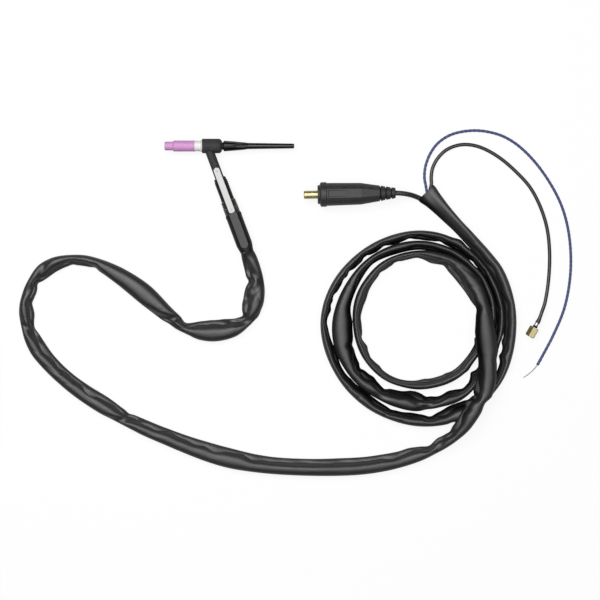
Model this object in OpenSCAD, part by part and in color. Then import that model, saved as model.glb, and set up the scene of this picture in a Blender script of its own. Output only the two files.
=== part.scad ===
// TIG torch lying on its side: angled head with cup and long cap, lever handle, sleeved leads,
// current plug, gas hose with nut, and control wire. Millimetres, +Z up, floor at z = 0.

/* [Head] */
// Radius of the moulded head cover
head_r = 11.6; // [10.6:0.1:13]
// Head in front of the neck's axis
head_front = 8.5; // [8:0.1:10]
// Head behind the neck's axis
head_back = 23; // [22.5:0.5:26]
// Rounding of the head's rear edge
head_round = 5.5; // [2:0.5:5.5]
// Radius of the metal core inside the head
core_r = 8.2; // [7.6:0.1:8.8]
// Angle between the handle and a square to the head
neck_lean = 20.5; // [15:0.5:30]

/* [Cup and collet] */
// Length of the ceramic cup
cup_len = 47.5; // [44:0.5:52]
// Radius of the cup's threaded end
cup_r = 8.7; // [8.2:0.1:9.4]
// Radius of the cup's nose
cup_nose_r = 6.9; // [6.3:0.1:7.4]
// Length of the cup's nose
cup_nose_len = 12.5; // [10:0.5:18]
// Radius of the gas mouth
cup_mouth_r = 4.75; // [4:0.05:5.2]
// Radius of the cup's bore behind the mouth
cup_bore_r = 5.5; // [5.3:0.1:5.9]
// Length of white gasket between head and cup
gasket_len = 12.5; // [8:0.5:15]
// Outer radius of the gasket
gasket_r = 8.3; // [7.8:0.1:9]
// Radius of the cup's thread on the collet body
cup_thread_r = 6.3; // [6:0.1:6.6]
// Length of the cup's thread on the collet body
cup_thread_len = 11; // [8:0.5:13]
// Radius of the collet body's thread in the head
body_thread_r = 5; // [4.6:0.1:5.2]
// Length of that thread inside the head
body_thread_len = 12; // [9:0.5:12]
// Radius of the collet body's front tube
body_tube_r = 4.3; // [4:0.1:4.6]
// Length of the collet body in front of the cup's thread
body_tube_len = 20; // [16:0.5:22]
// Radius of the electrode that the collet grips
electrode_r = 1.2; // [0.8:0.1:1.6]
// Outer radius of the collet
collet_r = 2.5; // [2.3:0.1:2.9]
// Radius of the collet's rear head
collet_head_r = 3.3; // [3:0.1:3.5]

/* [Back cap] */
// Length of the cap outside the head
cap_len = 115.5; // [60:0.5:140]
// Radius of the fluted grip at its front
cap_grip_r = 8.6; // [7.5:0.1:9.5]
// Radius of the cap where the grip has run out
cap_stem_r = 5; // [4.2:0.1:5.2]
// Radius of the cap's far end
cap_end_r = 3.9; // [3:0.1:4]
// Length of the grip's taper
cap_grip_len = 39; // [25:1:45]
// Radius of the cap's thread in the head
cap_thread_r = 5.1; // [4.8:0.1:5.4]
// Length of the cap's thread in the head
cap_thread_len = 12; // [9:0.5:13]
// Radius of the cap's waist that carries the seal
cap_waist_r = 4; // [3.6:0.1:4.4]
// Length of the waist
cap_waist_len = 2.6; // [2.6:0.1:4]
// Number of flutes round the grip
cap_flutes = 7; // [5:1:9]

/* [Neck and handle] */
// Radius of the moulded neck
neck_r = 7.1; // [6.4:0.1:7.8]
// Outer radius of the metal neck tube
tube_r = 4; // [3.6:0.1:4.4]
// Wall of the metal neck tube
tube_wall = 1.2; // [0.8:0.1:1.6]
// Distance from the head's axis to the front of the grip
grip_start = 55; // [50:1:60]
// Length of the front grip
grip_len = 38; // [36:0.5:44]
// Radius of the front grip
grip_r = 10.6; // [10:0.1:11.4]
// Length of the collar that holds the lever's pin
collar_len = 23; // [20:0.5:28]
// Radius of that collar
collar_r = 12.2; // [11.8:0.1:13]
// Length of the rear boot
boot_len = 65; // [62:1:80]
// Radius of the rear boot
boot_r = 12.8; // [12:0.1:13]
// Radius of the rim at the boot's front
boot_rim_r = 13.1; // [12.6:0.1:14]
// Radius of the boot's tail, inside the sleeve
boot_tail_r = 10.3; // [9.5:0.1:11]
// Length of the boot's tapered tail
boot_taper_len = 13; // [8:0.5:18]
// Radius of the hollow in the boot
boot_hollow_r = 7.8; // [7.7:0.1:8.4]
// Width of the grey thumb pad
pad_w = 12.4; // [10:0.2:15]
// Length of the grey thumb pad
pad_len = 58.5; // [40:0.5:60]

/* [Trigger lever] */
// Length of the lever
lever_len = 76; // [66:1:80]
// Width of the lever
lever_w = 9.6; // [8:0.2:11]
// Thickness of the lever
lever_t = 1.4; // [1:0.1:2]
// Height of the lever's underside above the handle's axis
lever_z = 11; // [10.8:0.1:12]
// Radius of the lever's hinge pin
pin_r = 1.5; // [1.2:0.1:1.7]
// Distance from the lever's rear end to its pin
pin_inset = 8.4; // [7.4:0.1:9]
// Press of the lever at its stop, in degrees
press_deg = 2.2; // [1:0.1:2.4]
// Distance from the hinge pin to the switch plunger
plunger_arm = 28; // [26:0.5:30]
// Radius of the switch plunger
plunger_r = 1.4; // [1:0.1:1.6]

/* [Leads and plug] */
// Width of the sleeve where it lies
sleeve_w = 25; // [22:0.5:28]
// Height of the sleeve where it lies
sleeve_h = 22; // [18:0.5:24]
// Width of the sleeve's flattened mouth
mouth_w = 36; // [30:0.5:40]
// Diameter of the current cable
cable_d = 7.5; // [6.5:0.1:7.6]
// Diameter of the gas hose
hose_d = 5.2; // [4.6:0.1:5.4]
// Diameter of the control wire
wire_d = 4; // [3:0.1:4]
// Diameter of the bare conductor at the wire's end
strand_d = 1.3; // [0.8:0.1:1.8]
// Radius of the plug's current pin
plug_pin_r = 6.5; // [4.5:0.1:7]
// Length of the pin outside the plug
plug_pin_len = 22; // [18:0.5:26]
// Radius of the plug's collar
plug_collar_r = 19.6; // [18:0.1:21]
// Radius of the plug's body behind the collar
plug_body_r = 18.3; // [17:0.1:18.6]
// Radius of the plug's ribbed tail
plug_tail_r = 8.2; // [7.5:0.1:9]
// Width of the raised pad along the plug
plug_pad_w = 13.8; // [11:0.2:15]

/* [Gas nut] */
// Width across the nut's flats
nut_af = 14; // [13.6:0.2:17]
// Length of the nut
nut_len = 16.5; // [15:0.5:20]
// Radius of the nut's thread
nut_thread_r = 5.45; // [5:0.05:5.6]
// Length of the nut's thread
nut_thread_len = 10; // [8:0.5:11]

/* [Hidden] */
$fn = 64;

// Clearances: bonded or moulded faces, running pins, threads that turn, faces that meet
bond = 0.05;
run = 0.05;
thread_gap = 0.2;
face_gap = 0.1;
// Overlap that a cut has past the face it opens
cut = 1;

// Places along the head, where the cup points to -X
gasket_front = -head_front - gasket_len;
cup_back = gasket_front - face_gap;
cup_tip = cup_back - cup_len;
core_front = -head_front + 0.4;
core_back = head_back - 4.5;
body_shoulder = gasket_front + 2;
body_front = body_shoulder - cup_thread_len;
body_nose = body_front - body_tube_len;
body_end = core_front + body_thread_len;
collet_front = body_nose + 1.5;
cap_thread_end = core_back - cap_thread_len;
collet_back = cap_thread_end - face_gap;
collet_head_len = collet_back - body_end - face_gap;
cap_grip_start = head_back + cap_waist_len;
cap_end = head_back + cap_len;
// A step in the collet body's bore, where the collet's cone bears
collet_cone_len = 2;
// The waist's seal
seal_r = 1.1;
// How long the cup's nose takes to widen into its body
cup_ramp = 2;

// Places along the handle, counted from the head's axis
neck_cover_end = grip_start + 8;
collar_start = grip_start + grip_len;
boot_start = collar_start + collar_len;
handle_end = boot_start + boot_len;
lever_end = boot_start - 1.6;
lever_start = lever_end - lever_len;
pin_at = lever_end - pin_inset;
pin_z = lever_z - 2;
plunger_at = pin_at - plunger_arm;
lever_side = 0.3;
ear_t = 1.3;
lever_corner_r = 3.2;
// Flush rivets near the lever's two ends
rivet_r = 2.2;
rivet_places = [lever_start + lever_w / 2 + 0.8, lever_end - lever_w / 2 - 0.4];
// The channel's floor leaves the lever its press at the grip's front
channel_z = lever_z - (pin_at - grip_start) * sin(press_deg) - 0.4;
channel_w = lever_w + 2 * lever_side;
collar_slot_z = pin_z - 2.6;
// The switch sits over the neck tube and under the channel
switch_len = 14;
switch_w = 6.4;
switch_front = plunger_at - 5;
switch_z = tube_r + 0.3;
switch_top = channel_z - 0.1;
spring_at = switch_front - 3.6;
spring_r = 2;
spring_wire = 0.6;
spring_seat_z = tube_r + 0.9;
spring_turns = 4;
spring_steps = 12;
// Two wire cores pass beside the tube, above the power block
core_wire_r = 0.8;
core_wire_y = 3.2;
core_wire_z = tube_r + 1.4;
// How deep the cores go into the switch
wire_seat = 2;
// Power block, cable and hose inside the boot
block_r = 7;
block_h = 7.8;
block_start = boot_start + 2.6;
block_len = 20;
block_end = block_start + block_len;
tube_end = block_start + 5;
cable_y = -2.9;
hose_y = 4.3;
barb_r = 1.9;
crimp_wall = 0.5;
crimp_len = 14;
control_start = block_end + 4;
control_z = cable_d / 2 + wire_d / 2 - 0.2;
pad_start = boot_start;
pad_z = sqrt(boot_r * boot_r - pad_w * pad_w / 4) + 0.4;
pad_depth = 1.4;
pad_floor = pad_z - pad_depth;

// The torch's own box is centred on the origin, and its widest ring lies on the floor
axis_z = boot_rim_r;
head_x = -(cup_tip + cap_end) / 2;
tail_reach = handle_end * cos(neck_lean) + boot_tail_r * sin(neck_lean);
head_y = (tail_reach - head_r) / 2;

// Plug places along X
plug_x = 119;
plug_y = 2.6;
plug_turn = 1.2;
plug_face = plug_x + plug_pin_len;
plug_disc_r = 15;
plug_disc_len = 4.5;
plug_collar_len = 10;
plug_body_len = 54;
plug_taper_len = 30;
plug_tail_len = 25.6;
plug_mid_r = plug_body_r - 1;
plug_neck_r = 12.6;
plug_body_start = plug_disc_len + plug_collar_len;
plug_taper_start = plug_body_start + plug_body_len;
plug_tail_start = plug_taper_start + plug_taper_len;
plug_len = plug_tail_start + plug_tail_len;
plug_z = plug_collar_r;
plug_ribs = 3;
shank_r = plug_pin_r + 2;
shank_len = 58;
socket_start = 34;
conductor_r = cable_d / 2 - 0.7;
screw_r = 2.5;
screw_len = 4;
screw_places = [40, 50];

// Gas fitting: where the hose ends and how far its axis leans from -Y
nut_lean = 30;
nut_phase = 20;
nut_axis_z = nut_af / 2 / cos(30) + 0.1;
ferrule_len = 5;
ferrule_wall = 0.6;
nipple_r = 3.2;
nipple_head_r = nut_thread_r - 0.15;
nipple_head_len = 3;
nut_start = ferrule_len + 3.5;
nut_shoulder = nut_len - nut_thread_len - nipple_head_len - 0.5;
nut_relief_r = nut_thread_r + 0.25;

// Routes, by hand: [x, y, height of the centre]
z_s = sleeve_h / 2;
SLEEVE_LEAD = [
  [28.5, -89, axis_z], [36, -110, 12.5], [42, -136, z_s], [42, -160, z_s], [35, -187, z_s],
  [22, -204, z_s], [1, -213, z_s], [-24, -216, z_s], [-53, -213, z_s], [-79, -203, z_s],
  [-106, -183, z_s], [-131, -160, z_s], [-157, -140, z_s], [-186, -121, z_s], [-216, -107, z_s],
  [-248, -102, z_s], [-280, -109, z_s], [-304, -125, z_s], [-320, -152, z_s], [-325, -181, z_s],
  [-322, -210, z_s], [-308, -240, z_s], [-285, -268, z_s], [-254, -296, z_s], [-211, -327, z_s],
  [-162, -357, z_s], [-107, -382, z_s], [-50, -404, z_s], [11, -422, z_s], [75, -432, z_s],
  [139, -434, z_s], [200, -432, z_s], [257, -424, z_s], [305, -412, z_s], [342, -394, z_s],
  [369, -370, z_s], [385, -347, z_s], [397, -325, z_s]
];
SLEEVE_TAIL = [
  [412, -99, z_s], [395, -79, z_s], [380, -62, z_s], [358, -38, 10], [341, -20, 9],
  [328, -6, 8], [316, 6, 8]
];
// Flare of the tail, ring by ring: 0 is the sleeve's own section, 1 is the open mouth
TAIL_FLARE = [0, 0, 0, 0.1, 0.4, 0.8, 1];
POWER_TAIL = [[309, -4, 8], [300, -0.4, 9.8], [288, 3.3, 14.8], [276.5, 4.9, 18.7], [265.07, 5.199, 19.6]];
GAS_HOSE = [
  [322, 11, 7], [323.5, 29, 4], [326, 47, 2.6], [334, 62, 2.6], [348, 75.5, 2.6], [367, 83, 2.6],
  [387, 83.5, 2.6], [409, 77, 2.6], [434.5, 62, 2.6], [460, 40, 2.6], [482, 15.5, 2.6],
  [498.5, -15.5, 2.6], [509.5, -51, 2.6], [513.5, -90, 2.6], [512, -131, 3], [506.5, -166.5, 5],
  [500, -186, 7.5], [496, -196.5, 8.1], [493, -202.3, 8.2]
];
CONTROL_WIRE = [
  [316, 4, 8], [312.5, 30, 4], [314.5, 50, 2], [322, 69.5, 2], [335, 87, 2], [355.5, 100, 2],
  [382, 106, 2], [409, 105.5, 2], [438.5, 97.5, 2], [465, 81, 2], [490.5, 55.5, 2], [513.5, 23.5, 2],
  [531.5, -11, 2], [542.5, -48, 2], [547.5, -90, 2], [546, -134, 2], [537, -179.5, 2], [519.5, -222, 2],
  [503, -253.5, 2], [494, -270, 2]
];
WIRE_STRAND = [[494, -270, 2], [484, -281, 1.6], [472, -290, 1]];
coil_at = [302, -205];
coil_turns = 3;
coil_pitch = sleeve_h - 1;
coil_in_r = 104.5;

// Frames: the head's axis and the handle's axis both become +X
module at_head() { translate([head_x, head_y, axis_z]) children(); }
module at_handle() { at_head() rotate([0, 0, neck_lean - 90]) children(); }
module at_plug() { translate([plug_face, plug_y, plug_z]) rotate([0, 0, plug_turn]) children(); }
module at_gas_end() {
  translate([GAS_HOSE[len(GAS_HOSE) - 1][0], GAS_HOSE[len(GAS_HOSE) - 1][1], nut_axis_z])
    rotate([0, 0, -90 - nut_lean]) children();
}

// A rod or cone along X from a to b
module rod(a, b, r, r_end = -1) {
  translate([a, 0, 0]) rotate([0, 90, 0])
    cylinder(h = b - a, r1 = r, r2 = r_end < 0 ? r : r_end);
}
// A body turned about X from [x, r] points
module turned(points) { rotate([90, 0, 90]) rotate_extrude() polygon([for (p = points) [p[1], p[0]]]); }
// A box from a to b along X, centred in Y, between two heights
module slab(a, b, w, z0, z1) { translate([a, -w / 2, z0]) cube([b - a, w, z1 - z0]); }
// A plate along X with round ends
module plate(a, b, w, z0, z1) {
  translate([0, 0, z0]) linear_extrude(z1 - z0) union() {
    translate([a + w / 2, -w / 2]) square([b - a - w, w]);
    translate([a + w / 2, 0]) circle(w / 2);
    translate([b - w / 2, 0]) circle(w / 2);
  }
}

// Sweep of an ellipse along route points: a ring at each point, square to the route there
function unit(v) = v / norm(v);
function heading(p, i) = unit(p[min(i + 1, len(p) - 1)] - p[max(i - 1, 0)]);
function side_of(t) = unit(cross(t, [0, 0, 1]));
function ring(c, t, w, h, n) =
  let (s = side_of(t), u = cross(s, t))
  [for (k = [0:n - 1]) c + s * w / 2 * cos(360 * k / n) + u * h / 2 * sin(360 * k / n)];
module swept(points, widths, heights, sides) {
  m = len(points);
  rings = [for (i = [0:m - 1]) each ring(points[i], heading(points, i), widths[i], heights[i], sides)];
  walls = [for (i = [0:m - 2]) for (k = [0:sides - 1])
    let (a = i * sides + k, b = i * sides + (k + 1) % sides)
    each [[a, b, b + sides], [a, b + sides, a + sides]]];
  ends = [[for (k = [sides - 1:-1:0]) k], [for (k = [0:sides - 1]) (m - 1) * sides + k]];
  polyhedron(rings, concat(walls, ends));
}
module cord(points, d, sides) {
  swept(points, [for (p = points) d], [for (p = points) d], sides);
}

// Pink ceramic gas cup with a stepped bore
module ceramic_cup() {
  nose = cup_tip + cup_nose_len;
  color("plum") at_head() difference() {
    turned([[cup_tip, 0], [cup_tip, cup_nose_r - 0.6], [cup_tip + 0.6, cup_nose_r], [nose, cup_nose_r],
      [nose + cup_ramp, cup_r], [cup_back - 1.6, cup_r], [cup_back - 1, cup_r + 0.3], [cup_back, cup_r + 0.3],
      [cup_back, 0]]);
    rod(cup_tip - cut, nose, cup_mouth_r);
    rod(nose - bond, nose + cup_ramp, cup_mouth_r, cup_bore_r);
    rod(nose + cup_ramp - bond, cup_back, cup_bore_r);
    rod(body_front - thread_gap, cup_back + cut, cup_thread_r + thread_gap);
  }
}
// White insulating ring clamped between the head and the collet body
module cup_gasket() {
  color("white") at_head() difference() {
    turned([[gasket_front, 0], [gasket_front, gasket_r - 0.6], [gasket_front + 0.6, gasket_r],
      [-head_front - 3, gasket_r], [-head_front - 2, gasket_r + 1.2], [-head_front, gasket_r + 1.2],
      [-head_front, 0]]);
    rod(gasket_front - cut, -head_front + cut, body_thread_r + bond);
    rod(gasket_front - cut, body_shoulder, cup_thread_r + bond);
  }
}
// Copper collet body: thread, cup thread, and a front tube with gas holes
module collet_body() {
  gas_hole_r = 0.9;
  color("peru") at_head() difference() {
    turned([[body_nose, 0], [body_nose, electrode_r + 1.2], [body_nose + 3, body_tube_r],
      [body_front, body_tube_r], [body_front, cup_thread_r], [body_shoulder, cup_thread_r],
      [body_shoulder, body_thread_r], [body_end, body_thread_r], [body_end, 0]]);
    rod(body_nose - cut, body_end + cut, electrode_r + 0.15);
    rod(collet_front, collet_front + collet_cone_len, electrode_r + 0.5 + thread_gap, collet_r + thread_gap);
    rod(collet_front + collet_cone_len - bond, body_end + cut, collet_r + thread_gap);
    for (k = [0:3]) rotate([90 * k + 45, 0, 0]) translate([body_front - 5, 0, 0])
      cylinder(h = body_tube_r + cut, r = gas_hole_r);
  }
}
// Slit copper collet that grips the electrode
module collet() {
  slit_len = 16;
  slit_w = 0.35;
  color("peru") at_head() difference() {
    turned([[collet_front + face_gap, 0], [collet_front + face_gap, electrode_r + 0.5],
      [collet_front + collet_cone_len + face_gap, collet_r], [collet_back - collet_head_len, collet_r],
      [collet_back - collet_head_len, collet_head_r], [collet_back, collet_head_r], [collet_back, 0]]);
    rod(collet_front - cut, collet_back + cut, electrode_r);
    for (turn = [0, 90]) rotate([turn, 0, 0])
      slab(collet_front - cut, collet_front + slit_len, slit_w, -collet_r - cut, collet_r + cut);
  }
}
// Brass core of the head, with a boss for the neck tube
module torch_core() {
  boss_r = tube_r + 1.6;
  boss_end = core_r + 6;
  color("goldenrod") at_head() difference() {
    union() {
      rod(core_front, core_back, core_r);
      rotate([0, 0, neck_lean - 90]) rod(0, boss_end, boss_r);
    }
    rod(core_front - cut, body_end, body_thread_r + bond);
    rod(body_end - bond, cap_thread_end - 1, collet_head_r + thread_gap);
    rod(cap_thread_end - 1 - bond, core_back + cut, cap_thread_r + thread_gap);
    rotate([0, 0, neck_lean - 90]) {
      rod(0, core_r, tube_r - tube_wall);
      rod(core_r - 1, boss_end + cut, tube_r + bond);
    }
  }
}
// Moulded rubber cover over the core and the neck
module head_cover() {
  boss_r = tube_r + 1.6;
  boss_end = core_r + 6;
  round_steps = 6;
  color("dimgray") at_head() difference() {
    union() {
      turned(concat([[-head_front, 0], [-head_front, head_r]],
        [for (k = [0:round_steps]) let (a = 90 * k / round_steps)
          [head_back - head_round + head_round * sin(a), head_r - head_round + head_round * cos(a)]],
        [[head_back, 0]]));
      rotate([0, 0, neck_lean - 90]) rod(0, neck_cover_end, neck_r);
    }
    rod(-head_front - cut, core_back + bond, core_r + bond);
    rod(core_back, head_back + cut, cap_thread_r + thread_gap);
    rotate([0, 0, neck_lean - 90]) {
      rod(0, boss_end + bond, boss_r + bond);
      rod(0, neck_cover_end + cut, tube_r + bond);
    }
  }
}
// Copper tube that carries current and gas from the block to the core
module neck_tube() {
  color("peru") at_handle() difference() {
    rod(core_r - 1 + bond, tube_end, tube_r);
    rod(0, tube_end + cut, tube_r - tube_wall);
  }
}
// Long black cap: waist, fluted grip running out into a slim stem
module back_cap() {
  flute_r = 2;
  hollow_r = cap_end_r - 1.3;
  stem_x = cap_grip_start + cap_grip_len;
  // The flutes start shallow, slope down to a floor just above the stem, and run out on it
  flute_floor = cap_stem_r + 0.4;
  slope_len = cap_grip_len * 0.5;
  slope_deg = atan((cap_grip_r - 0.6 - flute_floor) / slope_len);
  mid_r = cap_stem_r + (cap_grip_r - cap_stem_r) * 0.62;
  grip = [[cap_grip_start + 1, cap_grip_r], [cap_grip_start + slope_len, mid_r],
    [cap_grip_start + cap_grip_len * 0.85, cap_stem_r + 0.9]];
  color("black") at_head() difference() {
    turned(concat([[cap_thread_end, 0], [cap_thread_end, cap_thread_r - 0.6],
        [cap_thread_end + 0.6, cap_thread_r], [core_back, cap_thread_r], [core_back, cap_waist_r],
        [cap_grip_start, cap_waist_r], [cap_grip_start, cap_grip_r - 0.8]], grip,
      [[stem_x, cap_stem_r], [cap_end - 1, cap_end_r], [cap_end, cap_end_r - 1], [cap_end, 0]]));
    rod(cap_thread_end - cut, cap_end - 3, hollow_r);
    for (k = [0:cap_flutes - 1]) rotate([360 / cap_flutes * k - 90, 0, 0])
      translate([cap_grip_start + slope_len, 0, flute_floor + flute_r]) {
        rod(0, cap_grip_len - slope_len, flute_r);
        rotate([0, slope_deg, 0]) rod(-slope_len - 2 * cut, bond, flute_r);
      }
  }
}
// Seal ring on the cap's waist
module cap_o_ring() {
  color("black") at_head() translate([head_back + cap_waist_len / 2 + 0.1, 0, 0]) rotate([0, 90, 0])
    rotate_extrude() translate([cap_waist_r + seal_r + bond, 0]) circle(seal_r);
}

// Front grip of the handle: collar, grip with side grooves, lever channel and switch pocket
module handle_grip() {
  lip = 4;
  lip_r = grip_r - 1;
  grooves = 8;
  groove_pitch = (grip_len - lip - 6) / grooves;
  color("dimgray") at_handle() difference() {
    turned([[grip_start, 0], [grip_start, lip_r - 0.6], [grip_start + 0.6, lip_r], [grip_start + lip, lip_r],
      [grip_start + lip + 2, grip_r], [collar_start, grip_r], [collar_start, 0]]);
    rod(grip_start - cut, neck_cover_end + bond, neck_r + bond);
    rod(neck_cover_end, collar_start + cut, tube_r + bond);
    slab(grip_start - cut, collar_start + cut, channel_w, channel_z, lever_z + 2 * lever_t);
    slab(switch_front - bond, collar_start + cut, switch_w + 2 * bond, switch_z - 0.2, channel_z + cut);
    translate([spring_at, 0, spring_seat_z]) cylinder(h = channel_z, r = spring_r + 0.6);
    for (y = [-core_wire_y, core_wire_y]) translate([0, y, core_wire_z])
      rod(switch_front + switch_len - wire_seat - bond, collar_start + cut, core_wire_r + bond);
    for (k = [0:grooves - 1]) for (side = [-1, 1])
      translate([grip_start + lip + 4 + k * groove_pitch, side * (grip_r + 0.5), -grip_r])
        cylinder(h = 2 * grip_r, r = 1.1);
  }
}
// Collar with two cheeks for the lever's pin and three turned grooves in front of it
module lever_collar() {
  grooves = 3;
  groove_depth = 1;
  groove_pitch = 2.8;
  first = collar_start + 2;
  color("#303030") at_handle() difference() {
    turned(concat([[collar_start, 0], [collar_start, collar_r - 1.6], [first, collar_r]],
      [for (k = [0:grooves - 1]) let (at = first + k * groove_pitch)
        each [[at + 0.6, collar_r], [at + 1.7, collar_r - groove_depth], [at + 2.6, collar_r]]],
      [[boot_start, collar_r], [boot_start, 0]]));
    rod(collar_start - cut, boot_start + cut, tube_r + bond);
    slab(collar_start - cut, lever_end + lever_side, channel_w, collar_slot_z, collar_r + 2 * lever_t);
    translate([pin_at, -collar_r, pin_z]) rotate([-90, 0, 0]) cylinder(h = 2 * collar_r, r = pin_r + 0.02);
    for (y = [-core_wire_y, core_wire_y]) translate([0, y, core_wire_z])
      rod(collar_start - cut, boot_start + cut, core_wire_r + bond);
  }
}
// Rear boot, a hollow shell with a tapered tail and a pocket for the thumb pad
module rear_boot() {
  rim = 5;
  taper = handle_end - boot_taper_len;
  color("#262626") at_handle() difference() {
    turned([[boot_start, 0], [boot_start, boot_rim_r - 0.8], [boot_start + 0.8, boot_rim_r],
      [boot_start + rim, boot_rim_r], [boot_start + rim + 1, boot_r], [taper, boot_r],
      [handle_end, boot_tail_r], [handle_end, 0]]);
    rod(boot_start - cut, boot_start + 2 + cut, tube_r + bond);
    rod(boot_start + 2, handle_end + cut, boot_hollow_r);
    for (y = [-core_wire_y, core_wire_y]) translate([0, y, core_wire_z])
      rod(boot_start - cut, boot_start + 2 + cut, core_wire_r + bond);
    plate(pad_start, pad_start + pad_len + bond, pad_w + 2 * bond, pad_floor, boot_rim_r + cut);
    slab(pad_start - cut, pad_start + pad_w, pad_w + 2 * bond, pad_floor, boot_rim_r + cut);
  }
}
// Grey thumb pad set into the boot, square in front and round at the tail
module thumb_pad() {
  color("gray") at_handle() difference() {
    union() {
      plate(pad_start + bond, pad_start + pad_len, pad_w, pad_floor + bond, pad_z);
      slab(pad_start + bond, pad_start + pad_w, pad_w, pad_floor + bond, pad_z);
    }
    rod(pad_start - cut, pad_start + pad_len + cut, boot_hollow_r + 0.3);
  }
}

// Bright lever with two ears that hang on the pin
module trigger_lever() {
  color("whitesmoke") at_handle() difference() {
    union() {
      plate(lever_start, lever_end, lever_w, lever_z, lever_z + lever_t);
      slab(lever_start + lever_w, lever_end - lever_corner_r, lever_w, lever_z, lever_z + lever_t);
      for (side = [-1, 1])
        translate([lever_end - lever_corner_r, side * (lever_w / 2 - lever_corner_r), lever_z])
          cylinder(h = lever_t, r = lever_corner_r);
      for (side = [-1, 1]) translate([0, side * (lever_w - ear_t) / 2, 0]) {
        slab(pin_at - 2.6, pin_at + 1.2, ear_t, pin_z, lever_z + bond);
        translate([pin_at, ear_t / 2, pin_z]) rotate([90, 0, 0]) cylinder(h = ear_t, r = pin_r + 0.9);
      }
    }
    translate([pin_at, -lever_w, pin_z]) rotate([-90, 0, 0]) cylinder(h = 2 * lever_w, r = pin_r + run);
    for (x = rivet_places) translate([x, 0, lever_z - cut])
      cylinder(h = lever_t + 2 * cut, r = rivet_r + bond);
  }
}
// Flush rivets at the lever's two ends
module lever_rivets() {
  color("lightgray") at_handle() for (x = rivet_places)
    translate([x, 0, lever_z]) cylinder(h = lever_t + 0.3, r = rivet_r);
}
// Cross pin that the lever turns on
module lever_pin() {
  half = sqrt(collar_r * collar_r - pin_z * pin_z) - 1.4;
  color("silver") at_handle() translate([pin_at, -half, pin_z]) rotate([-90, 0, 0])
    cylinder(h = 2 * half, r = pin_r);
}
// Coil spring that lifts the lever
module lever_spring() {
  lift = lever_z - spring_seat_z - spring_wire - 2 * face_gap;
  steps = spring_turns * spring_steps;
  points = [for (k = [0:steps]) let (a = 360 * k / spring_steps)
    [spring_r * cos(a), spring_r * sin(a), spring_seat_z + spring_wire / 2 + face_gap + lift * k / steps]];
  color("silver") at_handle() translate([spring_at, 0, 0]) cord(points, spring_wire, 6);
}
// Small switch under the lever, with a guide for its plunger
module switch_body() {
  color("#202020") at_handle() difference() {
    slab(switch_front, switch_front + switch_len, switch_w, switch_z, switch_top);
    translate([plunger_at, 0, switch_z + 0.8]) cylinder(h = switch_top, r = plunger_r + run);
    for (y = [-core_wire_y, core_wire_y]) translate([0, y, core_wire_z])
      rod(switch_front + switch_len - wire_seat, switch_front + switch_len + cut, core_wire_r + bond);
  }
}
// Red switch plunger that the lever presses
module switch_plunger() {
  foot = switch_z + 0.8 + plunger_arm * sin(press_deg) + 0.3;
  color("firebrick") at_handle() translate([plunger_at, 0, foot])
    cylinder(h = lever_z - face_gap - foot, r = plunger_r);
}
// Two insulated cores from the switch to the control wire
module switch_wires() {
  color("royalblue") at_handle() for (y = [-core_wire_y, core_wire_y]) translate([0, y, core_wire_z])
    rod(switch_front + switch_len - wire_seat + bond, control_start, core_wire_r);
}
// Flat-sided brass block that joins tube, cable and gas line
module power_block() {
  color("goldenrod") at_handle() difference() {
    intersection() {
      rod(block_start, block_end, block_r);
      slab(block_start - cut, block_end + cut, 2 * block_r, -block_h / 2, block_h / 2);
    }
    rod(block_start - cut, tube_end + bond, tube_r + bond - 0.02);
    rod(tube_end, tube_end + 6, tube_r - tube_wall);
    translate([0, hose_y, 0]) rod(tube_end + 4, block_end + cut, barb_r + bond);
    translate([0, cable_y, 0]) rod(block_end - 7, block_end + cut, conductor_r + bond);
    translate([0, 0, 0]) rod(tube_end + 3, tube_end + 6, hose_y - 0.4);
  }
}
// Crimped sleeve that holds the cable at the block
module cable_crimp() {
  color("peru") at_handle() translate([0, cable_y, 0]) difference() {
    rod(block_end, block_end + crimp_len, cable_d / 2 + crimp_wall);
    rod(block_end - cut, block_end + crimp_len + cut, cable_d / 2 + bond);
  }
}
// Current cable inside the handle, with its conductor in the block
module cable_inner() {
  color("#181818") at_handle() translate([0, cable_y, 0]) union() {
    rod(block_end - 7 + bond, block_end + 1, conductor_r);
    rod(block_end + bond, handle_end, cable_d / 2);
  }
}
// Barb that takes the gas hose
module gas_barb() {
  color("gold") at_handle() translate([0, hose_y, 0]) difference() {
    rod(block_end - 8, block_end + 12, barb_r);
    rod(block_end - 8 - cut, block_end + 12 + cut, barb_r - 0.7);
  }
}
// Gas hose inside the handle
module hose_inner() {
  color("#141414") at_handle() translate([0, hose_y, 0]) difference() {
    rod(block_end + bond, handle_end, hose_d / 2);
    rod(block_end - cut, handle_end + cut, barb_r + bond);
  }
}
// Control wire inside the handle
module control_inner() {
  color("royalblue") at_handle() translate([0, 0, control_z])
    rod(control_start + bond, handle_end, wire_d / 2);
}

// Sleeve from the handle to the coil
module sleeve_lead() {
  color("#1c1c1c") swept(SLEEVE_LEAD,
    [for (i = [0:len(SLEEVE_LEAD) - 1]) i == 0 ? 2 * boot_tail_r : sleeve_w],
    [for (i = [0:len(SLEEVE_LEAD) - 1]) i == 0 ? 2 * boot_tail_r : sleeve_h], 10);
}
// Outer shape of the coiled sleeve, its turns side by side
module sleeve_coil() {
  color("#1c1c1c") translate([coil_at[0], coil_at[1], z_s]) rotate_extrude($fn = 96) union()
    for (k = [0:coil_turns - 1]) translate([coil_in_r + k * coil_pitch, 0]) circle(z_s);
}
// Sleeve from the coil to its flattened mouth
module sleeve_tail() {
  color("#1c1c1c") swept(SLEEVE_TAIL, [for (f = TAIL_FLARE) sleeve_w + f * (mouth_w - sleeve_w)],
    [for (p = SLEEVE_TAIL) 2 * p[2]], 12);
}
// Current cable between the sleeve's mouth and the plug
module power_tail() { color("#181818") cord(POWER_TAIL, cable_d, 10); }
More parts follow.
